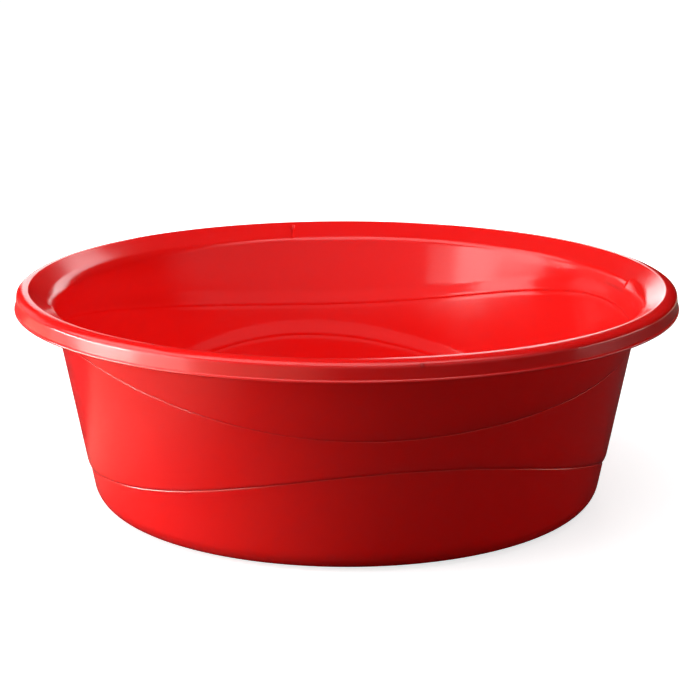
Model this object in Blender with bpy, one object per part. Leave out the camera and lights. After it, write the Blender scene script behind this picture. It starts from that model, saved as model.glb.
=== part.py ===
"""A round household basin, moulded in one piece from polypropylene.

The basin is one thin shell. It runs from the foot ring under the base, up the tapered side, under
and over the turned-down rim, down the flare and the inside of the wall, to the floor. Two folds
flow round the side as slow waves. They come close together at the front and back of the basin, and
spread towards its two ends, where a crease crosses the flare.

The shell is lofted from radial sections. Every section is the same chain of points, from the middle
of the underside to the middle of the floor, so neighbouring sections join face by face. Only the
places of the folds, the round of the shoulder and the notch change on the way round.

Lengths are in metres, +Z is up, and the origin is the middle of the underside. The photographed
front is at -Y.
"""

import math

import bmesh
import bpy
from mathutils import Vector

# Overall size
overall_diameter = 0.380
overall_height = 0.126
wall_thickness = 0.0017
base_thickness = 0.0020

# Rim, from its crest outwards to the bead at the skirt's lower edge
crest_setback = 0.0077
crest_round_height = 0.0037
skirt_depth = 0.0114
skirt_draft_deg = 5.0
bead_reach = 0.0005
bead_height = 0.0018
bead_edge_round = 0.0008

# Flare, from the crest inwards to the corner where it meets the wall
flare_width = 0.0143
flare_fall_deg = 30.5
crest_inner_radius = 0.0010

# Shoulder between flare and wall, tight past each crease and soft before the next one
tight_shoulder_radius = 0.0050
soft_shoulder_radius = 0.0130
shoulder_softens_share = 0.45

# Notch down the flare, above each place where the folds come closest
notch_width = 0.0046
notch_depth = 0.0007
notch_end_length = 0.0006

# Side wall, and how far each panel stands in from the one above it
wall_draft_deg = 10.86
panel_step = 0.0010

# Folds, as shares of the overall height, measured down from the crest
fold_axis_azimuth_deg = 281.5
upper_fold_depth_share = 0.292
upper_fold_swing_share = 0.107
upper_fold_second_share = 0.005
upper_fold_lean_share = 0.009
lower_fold_depth_share = 0.6795
lower_fold_swing_share = -0.1254
lower_fold_second_share = 0.0100
lower_fold_lean_share = 0.0045

# Dip of the lower fold near each end of the pattern, turned from the fold axis
lower_fold_dip_share = 0.049
dip_turn_deg = 80.1
dip_half_width_deg = 31.0

# Section of a fold: outside, the panel rounds in to a groove, and a ledge leads out to the next
# panel. Inside, the wall only steps in to the next panel. The groove is slight along the front and
# back, and opens out at the two ends of the pattern.
round_height = 0.0022
groove_depth = 0.0014
end_round_height = 0.0078
end_groove_depth = 0.0019
fold_opens_power = 16
ledge_fall = 0.0002
inner_step_height = 0.0030
groove_round_power = 1.8
groove_shares = (0.0, 0.22, 0.45, 0.70, 1.0)
inner_step_shares = (1.0, 0.66, 0.33, 0.0)

# Base: rounded corner, foot ring, recessed panel and the mark of the moulding gate
bottom_corner_radius = 0.0141
foot_ring_width = 0.0085
foot_recess = 0.0020
recess_slope_width = 0.0030
gate_foot_radius = 0.0034
gate_tip_radius = 0.0026
gate_length = 0.0008

# Sections round the basin, and points round each fillet
sections_per_quarter = 16
crease_width = 0.0012
crest_steps = 5
crest_underside_shares = (0.0, 0.4, 0.72, 1.0)
fillet_steps = 4
corner_steps = 6

# Red polypropylene
plastic_red = (0.72, 0.012, 0.012, 1.0)
plastic_roughness = 0.22
sharp_edge_deg = 32.0

# Lines that every section shares, as (radius, height)
bead_radius = overall_diameter / 2
skirt_foot_radius = bead_radius - bead_reach
skirt_draft = math.radians(skirt_draft_deg)
skirt_thickness = wall_thickness / math.cos(skirt_draft)
crest_radius = bead_radius - crest_setback
fold_axis = math.radians(fold_axis_azimuth_deg)
dip_turn = math.radians(dip_turn_deg)
dip_half_width = math.radians(dip_half_width_deg)
quarter_turn = math.pi / 2
wall_slope = math.tan(math.radians(wall_draft_deg))
wall_width = wall_thickness / math.cos(math.radians(wall_draft_deg))
up_wall = Vector((wall_slope, 1)).normalized()
flare_fall = math.radians(flare_fall_deg)
up_flare = Vector((math.cos(flare_fall), math.sin(flare_fall)))
flare_thickness = wall_thickness / math.cos(flare_fall)
outwards = Vector((1, 0))
upwards = Vector((0, 1))
crest_corner = Vector((crest_radius - crest_inner_radius * math.tan(flare_fall / 2), overall_height))
shoulder_radius_from_axis = crest_radius - flare_width
shoulder_drop = (crest_corner.x - shoulder_radius_from_axis) * math.tan(flare_fall)
shoulder_corner = Vector((shoulder_radius_from_axis, overall_height - shoulder_drop))


def wave(azimuth, depth_share, swing_share, second_share, lean_share):
    """Depth of a fold below the crest. It repeats every half turn."""
    turn = azimuth - fold_axis
    share = depth_share + swing_share * math.cos(2 * turn)
    share -= second_share * math.cos(4 * turn) + lean_share * math.sin(4 * turn)
    return overall_height * share


def upper_fold_depth(azimuth):
    return wave(azimuth, upper_fold_depth_share, upper_fold_swing_share,
                upper_fold_second_share, upper_fold_lean_share)


def lower_fold_depth(azimuth):
    """The lower fold's wave, which dips further at each end of the pattern."""
    depth = wave(azimuth, lower_fold_depth_share, lower_fold_swing_share,
                 lower_fold_second_share, lower_fold_lean_share)
    turn = (azimuth - fold_axis - dip_turn + quarter_turn) % math.pi - quarter_turn
    if abs(turn) < dip_half_width:
        dip_share = lower_fold_dip_share * (1 + math.cos(math.pi * turn / dip_half_width)) / 2
        depth += overall_height * dip_share
    return depth


def fold_round(azimuth):
    """Height of the round above a groove, and the groove's depth."""
    open_share = abs(math.cos(azimuth - fold_axis - dip_turn)) ** fold_opens_power
    height = round_height + (end_round_height - round_height) * open_share
    depth = groove_depth + (end_groove_depth - groove_depth) * open_share
    return height, depth


def shoulder_radius(azimuth):
    """Round between flare and wall, which starts again at each crease."""
    half_turn_share = ((azimuth - fold_axis - quarter_turn) % math.pi) / math.pi
    grown = (half_turn_share - shoulder_softens_share) / (1 - shoulder_softens_share)
    grown = max(grown, 0)
    ease = grown * grown * (3 - 2 * grown)
    return tight_shoulder_radius + (soft_shoulder_radius - tight_shoulder_radius) * ease


def inner_wall(depth, panels_above):
    """Point of the wall's inner face, at a depth below the crest."""
    height = overall_height - depth
    radius = shoulder_corner.x - wall_slope * (shoulder_corner.y - height)
    return Vector((radius - panel_step * panels_above, height))


def outer_wall(depth, panels_above):
    """Point of the wall's outer face, at a depth below the crest."""
    return inner_wall(depth, panels_above) + outwards * wall_width


def crossing(first_point, first_way, second_point, second_way):
    """Where two lines meet."""
    across = second_way.orthogonal()
    distance = (second_point - first_point).dot(across) / first_way.dot(across)
    return first_point + first_way * distance


def fillet(corner, way_to_start, way_to_end, radius, steps):
    """Points of the arc that touches both lines which leave a corner."""
    half_angle = way_to_start.angle(way_to_end) / 2
    reach = radius / math.tan(half_angle)
    centre = corner + (way_to_start + way_to_end).normalized() * (radius / math.sin(half_angle))
    first = corner + way_to_start * reach - centre
    last = corner + way_to_end * reach - centre
    start = math.atan2(first.y, first.x)
    sweep = (math.atan2(last.y, last.x) - start + math.pi) % (2 * math.pi) - math.pi
    points = []
    for step in range(steps + 1):
        angle = start + sweep * step / steps
        points.append(centre + Vector((math.cos(angle), math.sin(angle))) * radius)
    return points


def skirt(height_above_edge):
    """Point of the skirt's outer face, which slants outwards to its lower edge."""
    radius = skirt_foot_radius - height_above_edge * math.tan(skirt_draft)
    return Vector((radius, overall_height - skirt_depth + height_above_edge))


def crest_round_width():
    """Half width of the ellipse that starts level at the crest and touches the skirt."""
    below_crest_round = skirt_depth - crest_round_height
    across = (skirt_foot_radius - crest_radius) * math.cos(skirt_draft)
    across -= below_crest_round * math.sin(skirt_draft)
    sideways = across ** 2 - (crest_round_height * math.sin(skirt_draft)) ** 2
    return math.sqrt(sideways) / math.cos(skirt_draft)


def crest_arc(width, height, shares):
    """Points of the ellipse that rolls the crest over into the skirt, at shares of its turn."""
    turn = math.atan2(width, height * math.tan(skirt_draft))
    centre = Vector((crest_radius, overall_height - crest_round_height))
    points = []
    for share in shares:
        angle = turn * share
        points.append(centre + Vector((width * math.sin(angle), height * math.cos(angle))))
    return points


def bottom_corner():
    """Outer face of the rounded corner, from the foot ring up to the wall."""
    corner = crossing(outer_wall(overall_height, 2), up_wall, Vector((0, 0)), outwards)
    return fillet(corner, -outwards, up_wall, bottom_corner_radius, corner_steps)


def foot_ring_inner_radius():
    return bottom_corner()[0].x - foot_ring_width


def base_underside():
    """From the middle of the underside out to the foot ring and up the rounded corner."""
    ring_inner = foot_ring_inner_radius()
    return [
        Vector((0, foot_recess - gate_length)),
        Vector((gate_tip_radius, foot_recess - gate_length)),
        Vector((gate_foot_radius, foot_recess)),
        Vector((ring_inner - recess_slope_width, foot_recess)),
        Vector((ring_inner, 0)),
    ] + bottom_corner()


def base_inside():
    """From the inside of the wall round the corner and in to the middle of the floor."""
    floor = Vector((0, base_thickness))
    corner = crossing(inner_wall(overall_height, 2), up_wall, floor, outwards)
    rounded = fillet(corner, up_wall, -outwards, bottom_corner_radius - wall_thickness, corner_steps)
    ring_inner = foot_ring_inner_radius()
    return rounded + [
        Vector((ring_inner, base_thickness)),
        Vector((ring_inner - recess_slope_width, base_thickness + foot_recess)),
        Vector((0, base_thickness + foot_recess)),
    ]


def outer_fold(fold_depth, panels_above, azimuth):
    """Outer face at a fold: ledge of the panel below, groove, and round of the panel above."""
    height, depth = fold_round(azimuth)
    points = [outer_wall(fold_depth + ledge_fall, panels_above + 1)]
    for share in groove_shares:
        sunk = depth * (1 - share) ** groove_round_power
        points.append(outer_wall(fold_depth - share * height, panels_above) - outwards * sunk)
    return points


def inner_fold(fold_depth, panels_above):
    """Inner face at a fold: a soft step in to the panel below."""
    points = []
    for share in inner_step_shares:
        stepped_in = panel_step * (1 + math.cos(math.pi * share)) / 2
        points.append(inner_wall(fold_depth - share * inner_step_height, panels_above)
                      - outwards * stepped_in)
    return points


def rim_underside(shoulder):
    """From the outer wall along the underside of the flare and down inside the skirt."""
    corner = crossing(shoulder_corner + outwards * wall_width, up_wall,
                      shoulder_corner - upwards * flare_thickness, up_flare)
    points = fillet(corner, -up_wall, up_flare, shoulder - wall_thickness, fillet_steps)
    points += crest_arc(crest_round_width() - skirt_thickness,
                        crest_round_height - flare_thickness, crest_underside_shares)
    points.append(skirt(0) - outwards * skirt_thickness)
    return points


def rim_outside():
    """From the skirt's lower edge round the bead, up the skirt and over to the crest."""
    edge_height = overall_height - skirt_depth
    points = [
        Vector((bead_radius - bead_edge_round, edge_height)),
        Vector((bead_radius, edge_height + bead_edge_round)),
        skirt(bead_height),
    ]
    shares = [1 - step / crest_steps for step in range(crest_steps)]
    return points + crest_arc(crest_round_width(), crest_round_height, shares)


def flare(shoulder, notch_share):
    """From the crest in over the flare and round the shoulder to the wall."""
    crest = fillet(crest_corner, outwards, -up_flare, crest_inner_radius, fillet_steps)
    rounded = fillet(shoulder_corner, up_flare, -up_wall, shoulder, fillet_steps)
    into_flare = Vector((up_flare.y, -up_flare.x)) * (notch_depth * notch_share)
    notch_end = crest[-1] - up_flare * notch_end_length
    middle = (notch_end + rounded[0]) / 2
    return crest + [notch_end + into_flare, middle + into_flare / 2] + rounded


def section(azimuth, notch_share):
    """One radial section of the shell, from the middle of the underside to that of the floor."""
    upper = upper_fold_depth(azimuth)
    lower = lower_fold_depth(azimuth)
    shoulder = shoulder_radius(azimuth)
    points = base_underside()
    points += outer_fold(lower, 1, azimuth)
    points += outer_fold(upper, 0, azimuth)
    points += rim_underside(shoulder)
    points += rim_outside()
    points += flare(shoulder, notch_share)
    points += inner_fold(upper, 0)
    points += inner_fold(lower, 1)
    points += base_inside()
    return points


def section_places():
    """Azimuth of each section, and the share of the notch's depth that it has."""
    crease_turn = crease_width / crest_radius / 2
    notch_turn = notch_width / crest_radius / 2
    places = []
    for number in range(4 * sections_per_quarter):
        azimuth = fold_axis + quarter_turn * number / sections_per_quarter
        quarter, place = divmod(number, sections_per_quarter)
        if place:
            places.append((azimuth, 0))
        elif quarter % 2:
            places += [(azimuth - crease_turn, 0), (azimuth + crease_turn, 0)]
        else:
            places += [(azimuth - notch_turn, 0), (azimuth, 1), (azimuth + notch_turn, 0)]
    return places


def loft_sections():
    """Join the sections into one closed shell, with one vertex at each of its two middles."""
    bm = bmesh.new()
    rows = []
    for azimuth, notch_share in section_places():
        chain = section(azimuth, notch_share)
        if not rows:
            below = bm.verts.new((0, 0, chain[0].y))
            above = bm.verts.new((0, 0, chain[-1].y))
        row = [bm.verts.new((point.x * math.cos(azimuth), point.x * math.sin(azimuth), point.y))
               for point in chain[1:-1]]
        rows.append(row)
    for row, next_row in zip(rows, rows[1:] + rows[:1]):
        bm.faces.new((below, next_row[0], row[0]))
        for place in range(len(row) - 1):
            bm.faces.new((row[place], next_row[place], next_row[place + 1], row[place + 1]))
        bm.faces.new((above, row[-1], next_row[-1]))
    bmesh.ops.recalc_face_normals(bm, faces=bm.faces)
    return bm


def red_plastic():
    """Glossy red polypropylene."""
    material = bpy.data.materials.new("red_polypropylene")
    material.use_nodes = True
    shader = material.node_tree.nodes["Principled BSDF"]
    shader.inputs["Base Color"].default_value = plastic_red
    shader.inputs["Roughness"].default_value = plastic_roughness
    shader.inputs["Metallic"].default_value = 0
    return material


def build_basin():
    bm = loft_sections()
    mesh = bpy.data.meshes.new("basin")
    bm.to_mesh(mesh)
    bm.free()
    mesh.materials.append(red_plastic())
    mesh.shade_smooth()
    mesh.set_sharp_from_angle(angle=math.radians(sharp_edge_deg))
    basin = bpy.data.objects.new("basin", mesh)
    bpy.context.scene.collection.objects.link(basin)


for old_object in list(bpy.data.objects):
    bpy.data.objects.remove(old_object, do_unlink=True)

build_basin()
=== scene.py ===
# %% [markdown]
# # A red plastic basin
# This is the round household basin that people wash up in. It is one moulding: a thin shell of
# glossy red polypropylene, with a rolled rim, a flare inside it, a tapered wall with two flowing
# folds, and a foot ring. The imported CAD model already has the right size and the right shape. Here
# the same shell is made again, much finer, so that its small rounds and edges catch the light, and
# it gets its plastic, a floor, lamps and a camera.
#
# The first cell loads the CAD model. Its box is kept, because the finer shell has to stay inside it.

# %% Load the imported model
import math

import bmesh
import bpy
from mathutils import Matrix, Vector


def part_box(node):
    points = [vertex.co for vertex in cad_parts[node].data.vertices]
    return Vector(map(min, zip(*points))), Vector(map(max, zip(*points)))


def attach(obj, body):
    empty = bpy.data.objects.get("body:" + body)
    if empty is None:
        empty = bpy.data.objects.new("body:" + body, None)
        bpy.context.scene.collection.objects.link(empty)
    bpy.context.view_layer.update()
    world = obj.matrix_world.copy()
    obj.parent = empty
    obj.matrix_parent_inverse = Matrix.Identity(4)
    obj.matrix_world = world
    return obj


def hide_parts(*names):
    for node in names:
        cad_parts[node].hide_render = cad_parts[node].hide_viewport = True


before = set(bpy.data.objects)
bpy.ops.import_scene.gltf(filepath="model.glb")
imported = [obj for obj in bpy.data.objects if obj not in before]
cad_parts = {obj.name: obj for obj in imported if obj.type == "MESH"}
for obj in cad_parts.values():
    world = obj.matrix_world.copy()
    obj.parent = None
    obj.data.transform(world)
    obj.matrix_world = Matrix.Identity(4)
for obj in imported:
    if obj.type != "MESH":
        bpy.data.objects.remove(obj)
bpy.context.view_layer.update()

basin_low, basin_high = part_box("basin")
overall_height = basin_high.z
overall_radius = (basin_high.x - basin_low.x) / 2
print(f"basin: {2000 * overall_radius:.1f} mm across, {1000 * overall_height:.1f} mm high")

# %% [markdown]
# ## The lines that every section shares
# A basin like this is turned on a lathe in the mind of its designer: one outline, swept round an
# axis. A Screw modifier would do that for a plain basin, but here the folds rise and fall on the way
# round, so no single outline fits. The way chosen is a loft: the outline is worked out again for
# each direction, always with the same number of points, and neighbouring outlines are joined.
#
# An outline lives in a flat plane. Its points are pairs of radius and height. The rim sizes below
# run from the crest, the highest line of the basin, outwards to the bead at the skirt's lower edge.

# %% Sizes of the section
model_slack = 0.00002
wall_thickness = 0.0017
base_thickness = 0.0020
crest_setback = 0.0077
crest_round_height = 0.0037
skirt_depth = 0.0114
skirt_draft = math.radians(5)
bead_reach = 0.0005
bead_height = 0.0018
bead_edge_round = 0.0006
flare_width = 0.0143
flare_fall = math.radians(30.5)
crest_inner_radius = 0.0010
wall_draft = math.radians(10.86)
panel_step = 0.0010
print(f"wall {1000 * wall_thickness:.1f} mm thick, base {1000 * base_thickness:.1f} mm")

# %% [markdown]
# ## Lines and rounds
# A mould maker draws a section as straight lines with rounds between them. Here a line is a point
# and a way. One helper finds where two lines meet, and another puts a round of a given radius into a
# corner. Blender's Bevel modifier could round the corners too, but it might give one section more
# points than the next, and a loft needs the same number in each.

# %% Lines of the section, and helpers for its corners
bead_radius = overall_radius - model_slack
skirt_foot_radius = bead_radius - bead_reach
skirt_thickness = wall_thickness / math.cos(skirt_draft)
crest_radius = bead_radius - crest_setback
wall_slope = math.tan(wall_draft)
wall_width = wall_thickness / math.cos(wall_draft)
outwards = Vector((1, 0))
upwards = Vector((0, 1))
up_wall = Vector((wall_slope, 1)).normalized()
up_flare = Vector((math.cos(flare_fall), math.sin(flare_fall)))
flare_thickness = wall_thickness / math.cos(flare_fall)
crest_corner = Vector((crest_radius - crest_inner_radius * math.tan(flare_fall / 2), overall_height))
shoulder_x = crest_radius - flare_width
shoulder_corner = Vector((shoulder_x, overall_height - (crest_corner.x - shoulder_x) * math.tan(flare_fall)))


def inner_wall(depth, panels_above):
    """Point on the wall's inner face, at a depth below the crest."""
    height = overall_height - depth
    radius = shoulder_corner.x - wall_slope * (shoulder_corner.y - height)
    return Vector((radius - panel_step * panels_above, height))


def outer_wall(depth, panels_above):
    return inner_wall(depth, panels_above) + outwards * wall_width


def crossing(first_point, first_way, second_point, second_way):
    """Where two lines meet."""
    across = second_way.orthogonal()
    return first_point + first_way * ((second_point - first_point).dot(across) / first_way.dot(across))


def fillet(corner, way_to_start, way_to_end, radius, steps):
    """Points of the arc that touches both lines which leave a corner."""
    half_angle = way_to_start.angle(way_to_end) / 2
    centre = corner + (way_to_start + way_to_end).normalized() * (radius / math.sin(half_angle))
    reach = radius / math.tan(half_angle)
    first = corner + way_to_start * reach - centre
    last = corner + way_to_end * reach - centre
    start = math.atan2(first.y, first.x)
    sweep = (math.atan2(last.y, last.x) - start + math.pi) % (2 * math.pi) - math.pi
    return [centre + Vector((math.cos(start + sweep * step / steps),
                             math.sin(start + sweep * step / steps))) * radius
            for step in range(steps + 1)]


print(f"crest at {1000 * crest_radius:.1f} mm, shoulder at {1000 * shoulder_x:.1f} mm from the axis")

# %% [markdown]
# ## Two folds that flow round the wall
# On the real basin two folds run round the side as slow waves, close together at the front and back
# and far apart at the two ends. They stiffen the thin wall and make the surface lively. A wave that
# repeats every half turn is a cosine of twice the angle. A second, smaller cosine of four times the
# angle squares its crests a little, and a small sine makes it lean. Near the two ends the lower fold
# dips once more, which a short hump of cosine adds. The numbers are shares of the basin's height,
# counted down from the crest, and were read off the picture's two lines.

# %% The waves of the two folds
fold_axis = math.radians(281.5)
fold_shares = {
    "upper": (0.292, 0.107, 0.005, 0.009),
    "lower": (0.6795, -0.1254, 0.010, 0.0045),
}
lower_dip_share = 0.049
dip_turn = math.radians(80.1)
dip_half_width = math.radians(31)
tight_shoulder_radius = 0.0050
soft_shoulder_radius = 0.0130
shoulder_softens_share = 0.45


def fold_depth(name, azimuth):
    """Depth of a fold below the crest. It repeats every half turn."""
    mean, swing, second, lean = fold_shares[name]
    turn = azimuth - fold_axis
    share = mean + swing * math.cos(2 * turn) - second * math.cos(4 * turn) - lean * math.sin(4 * turn)
    past_dip = (turn - dip_turn + math.pi / 2) % math.pi - math.pi / 2
    if name == "lower" and abs(past_dip) < dip_half_width:
        share += lower_dip_share * (1 + math.cos(math.pi * past_dip / dip_half_width)) / 2
    return overall_height * share


def shoulder_radius(azimuth):
    """Round between flare and wall, which starts again at each crease."""
    half_turn_share = ((azimuth - fold_axis - math.pi / 2) % math.pi) / math.pi
    grown = max((half_turn_share - shoulder_softens_share) / (1 - shoulder_softens_share), 0)
    ease = grown * grown * (3 - 2 * grown)
    return tight_shoulder_radius + (soft_shoulder_radius - tight_shoulder_radius) * ease


for name in fold_shares:
    depths = [1000 * fold_depth(name, math.radians(degree)) for degree in range(360)]
    print(f"{name} fold: {min(depths):.1f} to {max(depths):.1f} mm below the crest")

# %% [markdown]
# ## The section, piece by piece
# The outline starts under the middle of the base, goes out to the foot ring, up the outside, over the
# rim and down the inside to the floor. Rounds get more points than flats, because that is where the
# light bends. The basin stands on the foot ring alone: the middle of the base is raised, so that it
# can't rock, and has a small flat mark where the plastic was let into the mould.

# %% Base and bottom corner
bottom_corner_radius = 0.0141
foot_ring_width = 0.0085
foot_recess = 0.0020
recess_slope_width = 0.0030
gate_foot_radius = 0.0034
gate_tip_radius = 0.0026
gate_length = 0.0008
corner_steps = 14
gate_flat_share = 0.96
underside_shares = (0.03, 0.5, 0.99, 1)
ring_shares = (0.1, 0.9)


def between(first, last, shares):
    """Points on the straight from one point to another."""
    return [first.lerp(last, share) for share in shares]


def bottom_corner():
    corner = crossing(outer_wall(overall_height, 2), up_wall, Vector((0, 0)), outwards)
    return fillet(corner, -outwards, up_wall, bottom_corner_radius, corner_steps)


foot_ring_outer = bottom_corner()[0].x
foot_ring_inner = foot_ring_outer - foot_ring_width


def base_underside():
    """From the gate mark in the middle out over the recess to the foot ring."""
    recess_edge = foot_ring_inner - recess_slope_width
    tip = Vector((gate_tip_radius, foot_recess - gate_length))
    root = Vector((gate_foot_radius, foot_recess))
    return ([Vector((0, tip.y)), Vector((tip.x * gate_flat_share, tip.y)), tip, root]
            + between(root, Vector((recess_edge, foot_recess)), underside_shares)
            + [Vector((foot_ring_inner, 0))]
            + between(Vector((foot_ring_inner, 0)), Vector((foot_ring_outer, 0)), ring_shares))


print(f"foot ring from {1000 * foot_ring_inner:.1f} to {1000 * foot_ring_outer:.1f} mm")

# %% [markdown]
# ## The folds in section
# At a fold the panel above curls in to a groove, and a narrow ledge leads out to the panel below.
# Along the front the groove is a hairline, and near the two ends it opens out until it shows in the
# outline. The ledge's outer edge is broken by a small round: no moulded edge is knife-sharp, and the
# bright hairline that the folds show comes from that round. A normal map could draw the lines on the
# wall, but not the steps in the outline, so this is real geometry.

# %% Folds and panels
panel_shares = (0.03, 0.2, 0.5, 0.8, 0.97)
round_height = 0.0017
groove_depth = 0.00125
end_round_height = 0.0078
end_groove_depth = 0.0019
fold_opens_power = 16
ledge_fall = 0.0002
ledge_edge_radius = 0.0003
ledge_edge_steps = 4
groove_root_radius = 0.00018
groove_round_power = 1.8
groove_shares = (0.05, 0.12, 0.2, 0.3, 0.4, 0.52, 0.66, 0.82, 1.0)


def outer_fold(depth, panels_above, azimuth):
    """Outer face at a fold, from the ledge's edge up to the plain panel above."""
    open_share = abs(math.cos(azimuth - fold_axis - dip_turn)) ** fold_opens_power
    height = round_height + (end_round_height - round_height) * open_share
    deepest = groove_depth + (end_groove_depth - groove_depth) * open_share
    edge = outer_wall(depth + ledge_fall, panels_above + 1)
    root = outer_wall(depth, panels_above) - outwards * deepest
    along_ledge = (root - edge).normalized()
    points = fillet(edge, -up_wall, along_ledge, ledge_edge_radius, ledge_edge_steps)
    points += [root - along_ledge * groove_root_radius, root + up_wall * groove_root_radius]
    for share in groove_shares:
        sunk = deepest * (1 - share) ** groove_round_power
        points.append(outer_wall(depth - share * height, panels_above) - outwards * sunk)
    return points


def outer_side(azimuth):
    """From the bottom corner up the three panels and both folds."""
    points = bottom_corner()
    for panels_above, name in ((1, "lower"), (0, "upper")):
        fold = outer_fold(fold_depth(name, azimuth), panels_above, azimuth)
        points += between(points[-1], fold[0], panel_shares) + fold
    return points


print(f"points on the outer side: {len(outer_side(0))}")

# %% [markdown]
# ## The rim
# The rim is what the hands meet, so the mould rounds most of it. The crest rolls over in a quarter
# of an ellipse, wider than it is high, and comes down as a short skirt, which slants out a little
# and ends in a slight bead. The ellipse has to start level at the crest and touch the slanting
# skirt, so its width is worked out from both. The underside follows at the wall's thickness.

# %% Crest, skirt and bead
crest_steps = 14
rim_fillet_steps = 8
bead_shares = (0.3, 0.55, 0.8, 1.0)
bead_edge_steps = 5
bead_bottom_share = 0.65
skirt_inside_shares = (0.5, 0.95, 1.0)
skirt_outside_shares = (0.3, 0.6, 0.9)


def skirt(height_above_edge):
    """Point of the skirt's outer face, which slants outwards to its lower edge."""
    radius = skirt_foot_radius - height_above_edge * math.tan(skirt_draft)
    return Vector((radius, overall_height - skirt_depth + height_above_edge))


def crest_round_width():
    """Half width of the ellipse that starts level at the crest and touches the skirt."""
    across = (skirt_foot_radius - crest_radius) * math.cos(skirt_draft)
    across -= (skirt_depth - crest_round_height) * math.sin(skirt_draft)
    sideways = across ** 2 - (crest_round_height * math.sin(skirt_draft)) ** 2
    return math.sqrt(sideways) / math.cos(skirt_draft)


def crest_arc(width, height, steps):
    """Points of the ellipse that rolls the crest over, from the crest down to the skirt."""
    turn = math.atan2(width, height * math.tan(skirt_draft))
    centre = Vector((crest_radius, overall_height - crest_round_height))
    return [centre + Vector((width * math.sin(turn * step / steps), height * math.cos(turn * step / steps)))
            for step in range(steps + 1)]


def rim_underside(shoulder):
    """From the outer wall along the underside of the flare and down inside the skirt."""
    corner = crossing(shoulder_corner + outwards * wall_width, up_wall,
                      shoulder_corner - upwards * flare_thickness, up_flare)
    points = fillet(corner, -up_wall, up_flare, shoulder - wall_thickness, rim_fillet_steps)
    points += crest_arc(crest_round_width() - skirt_thickness,
                        crest_round_height - flare_thickness, rim_fillet_steps)
    return points + between(points[-1], skirt(0) - outwards * skirt_thickness, skirt_inside_shares)


def rim_outside():
    """Round the bead, up the skirt and over to the crest."""
    edge = Vector((bead_radius, overall_height - skirt_depth))
    inner_edge = skirt(0) - outwards * skirt_thickness
    points = [edge.lerp(inner_edge, bead_bottom_share)]
    points += fillet(edge, -outwards, upwards, bead_edge_round, bead_edge_steps)
    start = points[-1]
    top = skirt(bead_height)
    for share in bead_shares:
        swell = math.sqrt(1 - share * share)
        points.append(Vector((top.x + (start.x - top.x) * swell, start.y + (top.y - start.y) * share)))
    over = crest_arc(crest_round_width(), crest_round_height, crest_steps)
    return points + between(top, over[-1], skirt_outside_shares) + over[:0:-1]


print(f"skirt {1000 * skirt_depth:.1f} mm deep, its round {1000 * crest_round_width():.1f} mm wide")

# %% [markdown]
# ## The flare and its notches
# From the wall the flare climbs outwards to the crest, whose inner edge is crisp. A small notch runs
# down it at the back and one at the front, above the places where the folds come closest. One side
# of a notch is steep and the other is a long slope, so that it shows as a single thin dark line. A
# Boolean could cut it, but that leaves ragged faces in a loft. Here the points themselves move.

# %% Flare and notch
flare_shares = (0.04, 0.15, 0.3, 0.45, 0.6, 0.75, 0.9)
notch_depth = 0.0015
notch_edge_start = -0.0008
notch_edge_lean = 0.0030
notch_steep_width = 0.0003
notch_slope_width = 0.0014
notch_mouth_width = 0.0028
notch_mouth_power = 4
notch_depth_power = 0.5
notch_start_setback = 0.0040
notch_end_setback = 0.0138
notch_start_radius = crest_radius - notch_start_setback
notch_end_radius = crest_radius - notch_end_setback


def notch_sunk(radius, sideways):
    """How deep the notch is: one steep side, and one long slope that is widest at its mouth."""
    along = (notch_start_radius - radius) / (notch_start_radius - notch_end_radius)
    if not 0 < along < 1:
        return 0
    from_edge = sideways - notch_edge_start - notch_edge_lean * along
    width = notch_slope_width + notch_mouth_width * (1 - along) ** notch_mouth_power
    share = 1 - from_edge / width if from_edge > 0 else 1 + from_edge / notch_steep_width
    return notch_depth * (1 - along) ** notch_depth_power * max(share, 0)


def flare(shoulder, sideways):
    """From the crest in over the flare and round the shoulder to the wall."""
    crest = fillet(crest_corner, outwards, -up_flare, crest_inner_radius, crest_steps)
    rounded = fillet(shoulder_corner, up_flare, -up_wall, shoulder, crest_steps)
    into_flare = Vector((up_flare.y, -up_flare.x))
    points = crest + between(crest[-1], rounded[0], flare_shares) + rounded
    return [point + into_flare * notch_sunk(point.x, sideways) for point in points]


print(f"notch {1000 * notch_depth:.1f} mm deep")

# %% [markdown]
# ## The inside
# A thin moulding shows its folds on both faces. Inside, the wall steps in at each fold as it does
# outside, because the plastic keeps its thickness, but much more softly. Half a cosine wave, 9 mm
# long, gives such a step without any corner. A shallow line just under the fold makes the thin dark
# stroke that the eye finds there. The floor steps up where the underside steps up over the foot ring.

# %% Inner side and the whole section
wall_start_drop = 0.006
inner_step_height = 0.0090
inner_step_shares = (1.0, 0.88, 0.75, 0.62, 0.5, 0.38, 0.25, 0.12, 0.0)
inner_line_depth = 0.00022
inner_line_top = 0.0006
inner_line_low = 0.0034
inner_line_power = 1.6
inner_line_shares = (0.0, 0.12, 0.3, 0.5, 0.7, 0.85, 1.0)
ring_step_shares = (0.1, 0.9, 1.0)
floor_shares = (0.01, 0.3, 0.6, 0.97, 1.0)


def inner_fold(depth, panels_above):
    """Inner face at a fold: a long soft step in, then a thin line just below the fold."""
    points = []
    for share in inner_step_shares:
        stepped_in = panel_step * (1 + math.cos(math.pi * share)) / 2
        points.append(inner_wall(depth - share * inner_step_height, panels_above)
                      - outwards * stepped_in)
    for share in inner_line_shares:
        sunk = inner_line_depth * (1 - share) ** inner_line_power
        height = inner_line_top + share * (inner_line_low - inner_line_top)
        points.append(inner_wall(depth + height, panels_above + 1) + outwards * sunk)
    return points


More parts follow.
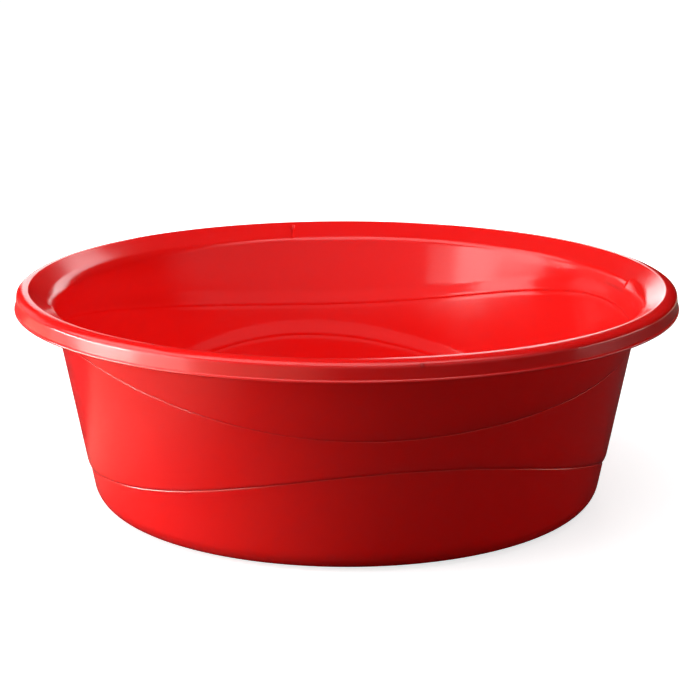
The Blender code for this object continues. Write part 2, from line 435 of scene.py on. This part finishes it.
def inner_side(azimuth):
    """From the shoulder down the wall, over both steps, to the middle of the floor."""
    points = []
    last = shoulder_corner - up_wall * wall_start_drop
    for panels_above, name in ((0, "upper"), (1, "lower")):
        fold = inner_fold(fold_depth(name, azimuth), panels_above)
        points += between(last, fold[0], panel_shares[1:]) + fold
        last = fold[-1]
    floor = Vector((0, base_thickness))
    corner = crossing(inner_wall(overall_height, 2), up_wall, floor, outwards)
    rounded = fillet(corner, up_wall, -outwards, bottom_corner_radius - wall_thickness, corner_steps)
    points += between(last, rounded[0], panel_shares) + rounded
    step_top = Vector((foot_ring_inner - recess_slope_width, base_thickness + foot_recess))
    points += between(rounded[-1], Vector((foot_ring_inner, base_thickness)), ring_step_shares)
    points += [step_top] + between(step_top, Vector((0, step_top.y)), floor_shares)
    return points


def section(azimuth, sideways):
    shoulder = shoulder_radius(azimuth)
    return (base_underside() + outer_side(azimuth) + rim_underside(shoulder) + rim_outside()
            + flare(shoulder, sideways) + inner_side(azimuth))


print(f"points in one section: {len(section(fold_axis, 0))}")

# %% [markdown]
# ## Where the sections stand
# The sections stand every 1.25 degrees, with a close pair at each crease of the flare and a close row
# across each notch. A loft shows only what its sections pass through, so they crowd where the shape
# changes fast and stay wide apart elsewhere.

# %% Directions of the sections
sections_in_all = 288
crease_half_width = 0.00012
notch_side_places = (0.0003, 0.0006, 0.0009, 0.0012, 0.0016, 0.0020, 0.0024, 0.0028, 0.0034)
clear_of_notch = 1


def section_places():
    """Direction of each section, and its distance to the side of a notch's middle."""
    places = []
    quarter = sections_in_all // 4
    for number in range(sections_in_all):
        azimuth = fold_axis + 2 * math.pi * number / sections_in_all
        quarter_number, place = divmod(number, quarter)
        if place:
            places.append((azimuth, clear_of_notch))
        elif quarter_number % 2:
            turn = crease_half_width / crest_radius
            places += [(azimuth - turn, clear_of_notch), (azimuth + turn, clear_of_notch)]
        else:
            offsets = [-place for place in reversed(notch_side_places)] + [0, *notch_side_places]
            places += [(azimuth + offset / crest_radius, offset) for offset in offsets]
    return sorted(places)


print(f"sections: {len(section_places())}")

# %% [markdown]
# ## Lofting the sections
# bmesh joins neighbouring sections quad by quad. Shading is smooth, and edges that turn sharply stay
# sharp. A Weighted Normal modifier then lets the large faces decide the shading at each vertex.
# Without it the small rounds would tint the flat panels beside them. The shell rides on the packed
# model's only body and stands in for its node.

# %% Loft the basin
sharp_edge_angle = math.radians(32)
large_faces_lead = 100


def loft_basin():
    bm = bmesh.new()
    rows = []
    for azimuth, sideways in section_places():
        chain = section(azimuth, sideways)
        if not rows:
            middles = [bm.verts.new((0, 0, chain[end].y)) for end in (0, -1)]
        across = Vector((math.cos(azimuth), math.sin(azimuth)))
        rows.append([bm.verts.new((point.x * across.x, point.x * across.y, point.y))
                     for point in chain[1:-1]])
    for row, next_row in zip(rows, rows[1:] + rows[:1]):
        bm.faces.new((middles[0], next_row[0], row[0]))
        for place in range(len(row) - 1):
            bm.faces.new((row[place], next_row[place], next_row[place + 1], row[place + 1]))
        bm.faces.new((middles[1], row[-1], next_row[-1]))
    bmesh.ops.recalc_face_normals(bm, faces=bm.faces)
    mesh = bpy.data.meshes.new("basin_shell")
    bm.to_mesh(mesh)
    bm.free()
    mesh.shade_smooth()
    mesh.set_sharp_from_angle(angle=sharp_edge_angle)
    shell = bpy.data.objects.new("basin_shell", mesh)
    bpy.context.scene.collection.objects.link(shell)
    weighted = shell.modifiers.new("large faces lead", "WEIGHTED_NORMAL")
    weighted.keep_sharp = True
    weighted.weight = large_faces_lead
    return shell


basin_shell = loft_basin()
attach(basin_shell, "root")
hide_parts("basin")
print(f"faces in the shell: {len(basin_shell.data.polygons)}")

# %% [markdown]
# ## Red polypropylene
# Polypropylene is a little waxy: light goes into it, turns red and comes out again, so thin walls
# glow. A Principled shader with subsurface scattering does that. Red light reaches farthest in it,
# which is what the three radii say. The colour is hardly ever quite even in a moulding, so two
# close reds are mixed by soft noise. A picture could give the same, but noise has no seam.

# %% Colour and glow of the plastic
plastic_red = (0.95, 0.016, 0.013, 1.0)
plastic_deep_red = (0.91, 0.012, 0.014, 1.0)
plastic_ior = 1.49
light_reach = (1.0, 0.12, 0.08)
light_reach_scale = 0.002
cloud_scale = 14.0
cloud_detail = 3.0


def noise(nodes, links, where, scale, detail):
    """Noise that is fixed to the piece."""
    node = nodes.new("ShaderNodeTexNoise")
    node.inputs["Scale"].default_value = scale
    node.inputs["Detail"].default_value = detail
    links.new(where, node.inputs["Vector"])
    return node.outputs["Fac"]


def two_colours(nodes, links, factor, first, second):
    """The first colour where the factor is 0, the second where it is 1."""
    node = nodes.new("ShaderNodeMix")
    node.data_type = "RGBA"
    node.inputs["A"].default_value = first
    node.inputs["B"].default_value = second
    links.new(factor, node.inputs["Factor"])
    return node.outputs["Result"]


plastic = bpy.data.materials.new("red_polypropylene")
plastic.use_nodes = True
plastic_nodes, plastic_links = plastic.node_tree.nodes, plastic.node_tree.links
plastic_shader = plastic_nodes["Principled BSDF"]
plastic_shader.inputs["IOR"].default_value = plastic_ior
plastic_shader.inputs["Subsurface Weight"].default_value = 1.0
plastic_shader.inputs["Subsurface Radius"].default_value = light_reach
plastic_shader.inputs["Subsurface Scale"].default_value = light_reach_scale
on_piece = plastic_nodes.new("ShaderNodeTexCoord").outputs["Object"]
clouds = noise(plastic_nodes, plastic_links, on_piece, cloud_scale, cloud_detail)
reds = two_colours(plastic_nodes, plastic_links, clouds, plastic_red, plastic_deep_red)
plastic_links.new(reds, plastic_shader.inputs["Base Color"])
basin_shell.data.materials.append(plastic)
print("plastic:", basin_shell.data.materials[0].name)

# %% [markdown]
# ## Gloss and waviness
# The moulded face is glossy, but never a mirror. A fine grain softens its reflections unevenly, so
# noise drives the roughness through a Map Range node. A faint long waviness, left by cooling, bends
# the reflections a little. It is too low to be worth real geometry, so it goes through Bump.

# %% Gloss and waviness of the plastic
grain_scale = 90.0
grain_detail = 4.0
grain_low = 0.3
grain_high = 0.7
roughness_low = 0.14
roughness_high = 0.19
wave_scale = 26.0
wave_detail = 1.0
wave_strength = 0.25
wave_height = 0.0004

gloss = plastic_nodes.new("ShaderNodeMapRange")
gloss.inputs["From Min"].default_value = grain_low
gloss.inputs["From Max"].default_value = grain_high
gloss.inputs["To Min"].default_value = roughness_low
gloss.inputs["To Max"].default_value = roughness_high
grain = noise(plastic_nodes, plastic_links, on_piece, grain_scale, grain_detail)
plastic_links.new(grain, gloss.inputs["Value"])
plastic_links.new(gloss.outputs["Result"], plastic_shader.inputs["Roughness"])

waviness = plastic_nodes.new("ShaderNodeBump")
waviness.inputs["Strength"].default_value = wave_strength
waviness.inputs["Distance"].default_value = wave_height
waves = noise(plastic_nodes, plastic_links, on_piece, wave_scale, wave_detail)
plastic_links.new(waves, waviness.inputs["Height"])
plastic_links.new(waviness.outputs["Normal"], plastic_shader.inputs["Normal"])
print(f"roughness from {roughness_low} to {roughness_high}")

# %% [markdown]
# ## The small round mark on the skirt
# High on the front of the skirt sits a mark no wider than the head of a match, left by a pin of the
# mould. It is a shallow dome, made of rings of points that shrink towards its tip, and closed by a
# flat foot, so that it is a whole piece of its own.

# %% Dome of the moulding mark
mark_radius = 0.0013
mark_height = 0.00045
mark_rings = 6
mark_spokes = 24


def dome():
    """A shallow closed dome that stands on its flat foot."""
    bm = bmesh.new()
    rings = []
    for ring in range(mark_rings):
        lean = math.pi / 2 * ring / mark_rings
        reach, rise = mark_radius * math.cos(lean), mark_height * math.sin(lean)
        rings.append([bm.verts.new((reach * math.cos(2 * math.pi * spoke / mark_spokes),
                                    reach * math.sin(2 * math.pi * spoke / mark_spokes), rise))
                      for spoke in range(mark_spokes)])
    tip = bm.verts.new((0, 0, mark_height))
    for spoke in range(mark_spokes):
        following = (spoke + 1) % mark_spokes
        for lower, upper in zip(rings, rings[1:]):
            bm.faces.new((lower[spoke], lower[following], upper[following], upper[spoke]))
        bm.faces.new((rings[-1][spoke], rings[-1][following], tip))
    bm.faces.new(list(reversed(rings[0])))
    return bm


mark_bm = dome()
print(f"mark: {2000 * mark_radius:.1f} mm across")

# %% [markdown]
# ## The mark's place
# The dome is turned until it stands square to the skirt's upper round, and is sunk a little so that
# its foot leaves no gap. Its place comes from the same ellipse that the skirt is made from.

# %% Put the mark on the skirt
mark_azimuth = math.radians(281.5)
mark_sunk = 0.0002
mark_step = 12


def on_skirt():
    """Where the mark sits on the skirt's upper round, and how it is turned."""
    over = crest_arc(crest_round_width(), crest_round_height, crest_steps)
    foot = over[mark_step]
    facing = (over[mark_step - 1] - over[mark_step + 1]).orthogonal().normalized()
    if facing.x < 0:
        facing = -facing
    across = Vector((math.cos(mark_azimuth), math.sin(mark_azimuth)))
    normal = Vector((facing.x * across.x, facing.x * across.y, facing.y))
    place = Vector((foot.x * across.x, foot.x * across.y, foot.y)) - normal * mark_sunk
    return Matrix.Translation(place) @ normal.to_track_quat("Z", "Y").to_matrix().to_4x4()


bmesh.ops.transform(mark_bm, matrix=on_skirt(), verts=mark_bm.verts)
mark_mesh = bpy.data.meshes.new("moulding_mark")
mark_bm.to_mesh(mark_mesh)
mark_bm.free()
mark_mesh.shade_smooth()
mark_mesh.materials.append(plastic)
mark = bpy.data.objects.new("moulding_mark", mark_mesh)
bpy.context.scene.collection.objects.link(mark)
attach(mark, "root")
print("mark sits at", [round(1000 * part, 1) for part in on_skirt().translation], "mm")

# %% [markdown]
# ## The floor
# The basin stands on a plain white floor. Two colours of floor are set in one material, because a
# picture of a dark, glossy thing needs both. Light Path's Is Camera Ray gives the camera a white
# floor, which is lifted a little less near the basin so that it keeps the basin's shadow. The light
# that the plastic mirrors or gathers meets a nearly black floor instead, which is painted shade on
# the floor. This cell makes the plane and its two colours.

# %% Floor in two colours
floor_size = 8.0
floor_roughness = 0.8
floor_shine = 0.1
floor_seen_colour = (0.80, 0.80, 0.80, 1.0)
# painted shade: the floor is this dark only for the light that the plastic mirrors or gathers
floor_painted_shade_colour = (0.05, 0.05, 0.05, 1.0)
floor_lift_near = 0.74
floor_lift_far = 1.0
near_and_far = (0.40, 1.30)

bpy.ops.mesh.primitive_plane_add(size=floor_size, location=(0, 0, 0))
floor = bpy.context.object
floor.name = "floor"
white_floor = bpy.data.materials.new("white_floor")
white_floor.use_nodes = True
floor.data.materials.append(white_floor)

floor_nodes, floor_links = white_floor.node_tree.nodes, white_floor.node_tree.links
floor_shader = floor_nodes["Principled BSDF"]
floor_shader.inputs["Roughness"].default_value = floor_roughness
floor_shader.inputs["Specular IOR Level"].default_value = floor_shine
floor_path = floor_nodes.new("ShaderNodeLightPath")
seen = floor_path.outputs["Is Camera Ray"]
# for every ray but the camera's the floor takes the painted shade colour
floor_colour = two_colours(floor_nodes, floor_links, seen, floor_painted_shade_colour, floor_seen_colour)
floor_links.new(floor_colour, floor_shader.inputs["Base Color"])

on_floor = floor_nodes.new("ShaderNodeTexCoord").outputs["Object"]
from_basin = floor_nodes.new("ShaderNodeVectorMath")
from_basin.operation = "LENGTH"
floor_links.new(on_floor, from_basin.inputs[0])
lift = floor_nodes.new("ShaderNodeMapRange")
lift.inputs["From Min"].default_value = near_and_far[0]
lift.inputs["From Max"].default_value = near_and_far[1]
lift.inputs["To Min"].default_value = floor_lift_near
lift.inputs["To Max"].default_value = floor_lift_far
floor_links.new(from_basin.outputs["Value"], lift.inputs["Value"])
print(f"floor: {floor_size:.0f} m square")

# %% [markdown]
# ## Painted light on the floor for the gloss
# The floor's painted shade ends a short way out at the left and behind. There Is Glossy Ray shows the
# gloss a painted pool of light on the floor, a little warm, as the reflections on the real basin are.
# The plastic shows these zones as painted reflections. Each zone is a product of fades along X or Y,
# and the brightest zone counts. A hard border would draw a line in the plastic, so every fade is a
# Map Range node with a smooth step. The emission is the larger one of what the camera sees and what
# the gloss sees.

# %% Zones of painted light on the floor for the gloss
white = (1, 1, 1, 1)
# tint of the painted reflections that the floor's zones give the plastic
painted_reflection_tint = (1.0, 0.82, 0.62, 1.0)
# each row of a zone: axis, where its glow starts, where it is full, how strong it is there
# painted light: zones where the floor glows only for glossy rays, drawn as reflections in the plastic
painted_light_zones = (
    (("X", -0.12, -0.26, 0.5), ("Y", 0.08, 0.03, 1.0)),
    (("X", -0.45, -0.52, 1.0), ("Y", 0.45, 0.40, 1.0)),
    (("Y", 0.45, 0.75, 0.9), ("Y", 1.40, 1.00, 1.0)),
)


def joined(nodes, links, operation, first, second):
    """Join two values with a Math node. Where there is no first, the second is the result."""
    if first is None:
        return second
    node = nodes.new("ShaderNodeMath")
    node.operation = operation
    links.new(first, node.inputs[0])
    links.new(second, node.inputs[1])
    return node.outputs[0]


def faded(nodes, links, value, start, full, most):
    """Smoothly from nothing, where the value is at the start, to the most, where it is full."""
    node = nodes.new("ShaderNodeMapRange")
    node.interpolation_type = "SMOOTHSTEP"
    node.inputs["From Min"].default_value = start
    node.inputs["From Max"].default_value = full
    node.inputs["To Max"].default_value = most
    links.new(value, node.inputs["Value"])
    return node.outputs["Result"]


floor_place = floor_nodes.new("ShaderNodeSeparateXYZ")
floor_links.new(on_floor, floor_place.inputs["Vector"])
brightest_painted_light = None
for zone in painted_light_zones:
    inside = None
    for axis, start, full, most in zone:
        fade = faded(floor_nodes, floor_links, floor_place.outputs[axis], start, full, most)
        inside = joined(floor_nodes, floor_links, "MULTIPLY", inside, fade)
    brightest_painted_light = joined(floor_nodes, floor_links, "MAXIMUM", brightest_painted_light, inside)
seen_lift = joined(floor_nodes, floor_links, "MULTIPLY", seen, lift.outputs["Result"])
# painted reflection: the zones glow for glossy rays alone
painted_reflection = joined(floor_nodes, floor_links, "MULTIPLY", brightest_painted_light, floor_path.outputs["Is Glossy Ray"])
lift_and_painted_light = joined(floor_nodes, floor_links, "MAXIMUM", seen_lift, painted_reflection)
floor_links.new(lift_and_painted_light, floor_shader.inputs["Emission Strength"])
lift_or_painted_reflection_colour = two_colours(floor_nodes, floor_links, seen, painted_reflection_tint, white)
floor_links.new(lift_or_painted_reflection_colour, floor_shader.inputs["Emission Color"])
print("zones of white floor:", len(painted_light_zones))

# %% [markdown]
# ## The room
# The world does what the floor does: it is white to the camera, and for soft light it is dim. The
# gloss sees neither. For it the room is black but for a soft glow low at the front, where a real
# room is never quite dark. That glow fades out sideways and upwards, again with smooth steps, so it
# puts no border in the wall.

# %% World
room_strength = 0.07
low_front_glow = 0.38
low_front_side = (-0.05, -0.40)
low_front_height = (0.85, 0.50)

world = bpy.data.worlds.new("studio")
bpy.context.scene.world = world
world.use_nodes = True
sky_nodes, sky_links = world.node_tree.nodes, world.node_tree.links
sky_path = sky_nodes.new("ShaderNodeLightPath")
sky_way = sky_nodes.new("ShaderNodeSeparateXYZ")
sky_links.new(sky_nodes.new("ShaderNodeTexCoord").outputs["Generated"], sky_way.inputs["Vector"])
front = faded(sky_nodes, sky_links, sky_way.outputs["Y"], *low_front_side, low_front_glow)
low = faded(sky_nodes, sky_links, sky_way.outputs["Z"], *low_front_height, 1.0)
low_front = joined(sky_nodes, sky_links, "MULTIPLY", front, low)
dimmer = sky_nodes.new("ShaderNodeMapRange")
dimmer.inputs["To Min"].default_value = room_strength
sky_links.new(sky_path.outputs["Is Glossy Ray"], dimmer.inputs["Value"])
sky_links.new(low_front, dimmer.inputs["To Max"])

room = sky_nodes["Background"]
room.inputs["Color"].default_value = white
sky_links.new(dimmer.outputs["Result"], room.inputs["Strength"])
backdrop = sky_nodes.new("ShaderNodeBackground")
backdrop.inputs["Color"].default_value = white
backdrop.inputs["Strength"].default_value = 1.0
room_or_backdrop = sky_nodes.new("ShaderNodeMixShader")
sky_links.new(sky_path.outputs["Is Camera Ray"], room_or_backdrop.inputs["Fac"])
sky_links.new(room.outputs[0], room_or_backdrop.inputs[1])
sky_links.new(backdrop.outputs[0], room_or_backdrop.inputs[2])
sky_links.new(room_or_backdrop.outputs[0], sky_nodes["World Output"].inputs["Surface"])
print(f"room: {room_strength} for soft light, up to {low_front_glow} low at the front for the gloss")

# %% [markdown]
# ## Lamps
# All lamps are softboxes, wide panels that give soft light and show as pale patches in the gloss. The
# light comes mostly from the left, low over the floor, so the left of the wall is bright and the front
# falls off to dark red. Smaller panels draw the pale lines along the rim. Two more lie on the floor,
# face up, for the stripe of light along the skirt: they are for the gloss alone, so their light is
# switched off for diffuse rays. Each panel's power is for its own size.

# %% Lamps
# each row: name, azimuth and elevation in degrees, distance, width and height in metres, power in watts
softboxes = (
    ("low_left_strip", 180, 1.5, 1.4, 1.00, 0.20, 14),
    ("left_softbox", 189, 12, 1.4, 0.62, 0.80, 5.5),
    ("left_front_strip", 211, 8, 1.4, 0.46, 0.50, 4.0),
    ("front_left_strip", 227, 8, 1.4, 0.26, 0.24, 0.5),
    ("high_left_softbox", 180, 42, 1.4, 1.20, 0.80, 8.5),
    ("overhead_softbox", 250, 71, 1.5, 1.60, 1.20, 13.5),
    ("high_right_softbox", 330, 57, 1.4, 0.50, 0.70, 1.2),
    ("low_right_strip", 5, 1.0, 1.4, 0.90, 0.17, 1.5),
    ("back_left_softbox", 140, 15, 1.4, 0.70, 0.50, 0.6),
    ("back_left_panel", 111, 11, 0.87, 0.20, 0.34, 0.4),
    ("back_right_panel", 78, 19, 0.87, 0.24, 0.66, 1.25),
)
# each row: name, middle in X and Y, size in X and Y in metres, power in watts
floor_panels = (
    ("skirt_stripe_panel", -1.20, -0.22, 1.20, 0.46, 9.6),
    ("skirt_fade_panel", -1.20, -0.63, 1.20, 0.36, 3.4),
)
floor_panel_height = 0.002
floor_panel_tint = (1.0, 0.93, 0.84)


def panel(name, width, height, power):
    """A rectangular lamp. It shines along its own -Z."""
    lamp = bpy.data.lights.new(name, "AREA")
    lamp.shape = "RECTANGLE"
    lamp.size = width
    lamp.size_y = height
    lamp.energy = power
    box = bpy.data.objects.new(name, lamp)
    bpy.context.scene.collection.objects.link(box)
    return box


for name, middle_x, middle_y, width, depth, power in floor_panels:
    box = panel(name, width, depth, power)
    box.location = (middle_x, middle_y, floor_panel_height)
    box.rotation_euler = (math.pi, 0, 0)
    box.data.color = floor_panel_tint
    box.visible_diffuse = False
    box.visible_camera = False
for name, azimuth_deg, elevation_deg, distance, width, height, power in softboxes:
    azimuth, elevation = math.radians(azimuth_deg), math.radians(elevation_deg)
    away = Vector((math.cos(azimuth) * math.cos(elevation), math.sin(azimuth) * math.cos(elevation),
                   math.sin(elevation)))
    box = panel(name, width, height, power)
    box.location = Vector((0, 0, overall_height / 2)) + away * distance
    box.rotation_euler = away.to_track_quat("Z", "Y").to_euler()
print("lamps:", ", ".join(lamp.name for lamp in bpy.data.lights))

# %% [markdown]
# ## Camera
# The basin was seen from about 14 degrees above level, from some 1.2 m away. A long lens at that
# distance gives the same narrow ellipse of the rim. The place and tilt come from fitting the rim, the
# outline and the folds together.

# %% Camera
camera_place = Vector((0.00187, -1.2326, 0.3935))
camera_tilt = math.radians(75.93)
camera_roll = 0.0013
camera_lens = 112.5
camera_sensor_width = 36
lens = bpy.data.cameras.new("camera")
lens.lens = camera_lens
lens.sensor_width = camera_sensor_width
camera = bpy.data.objects.new("camera", lens)
camera.matrix_world = (Matrix.Translation(camera_place) @ Matrix.Rotation(camera_tilt, 4, "X")
                       @ Matrix.Rotation(camera_roll, 4, "Z"))
bpy.context.scene.collection.objects.link(camera)
bpy.context.scene.camera = camera
bpy.context.scene.view_settings.view_transform = "Standard"
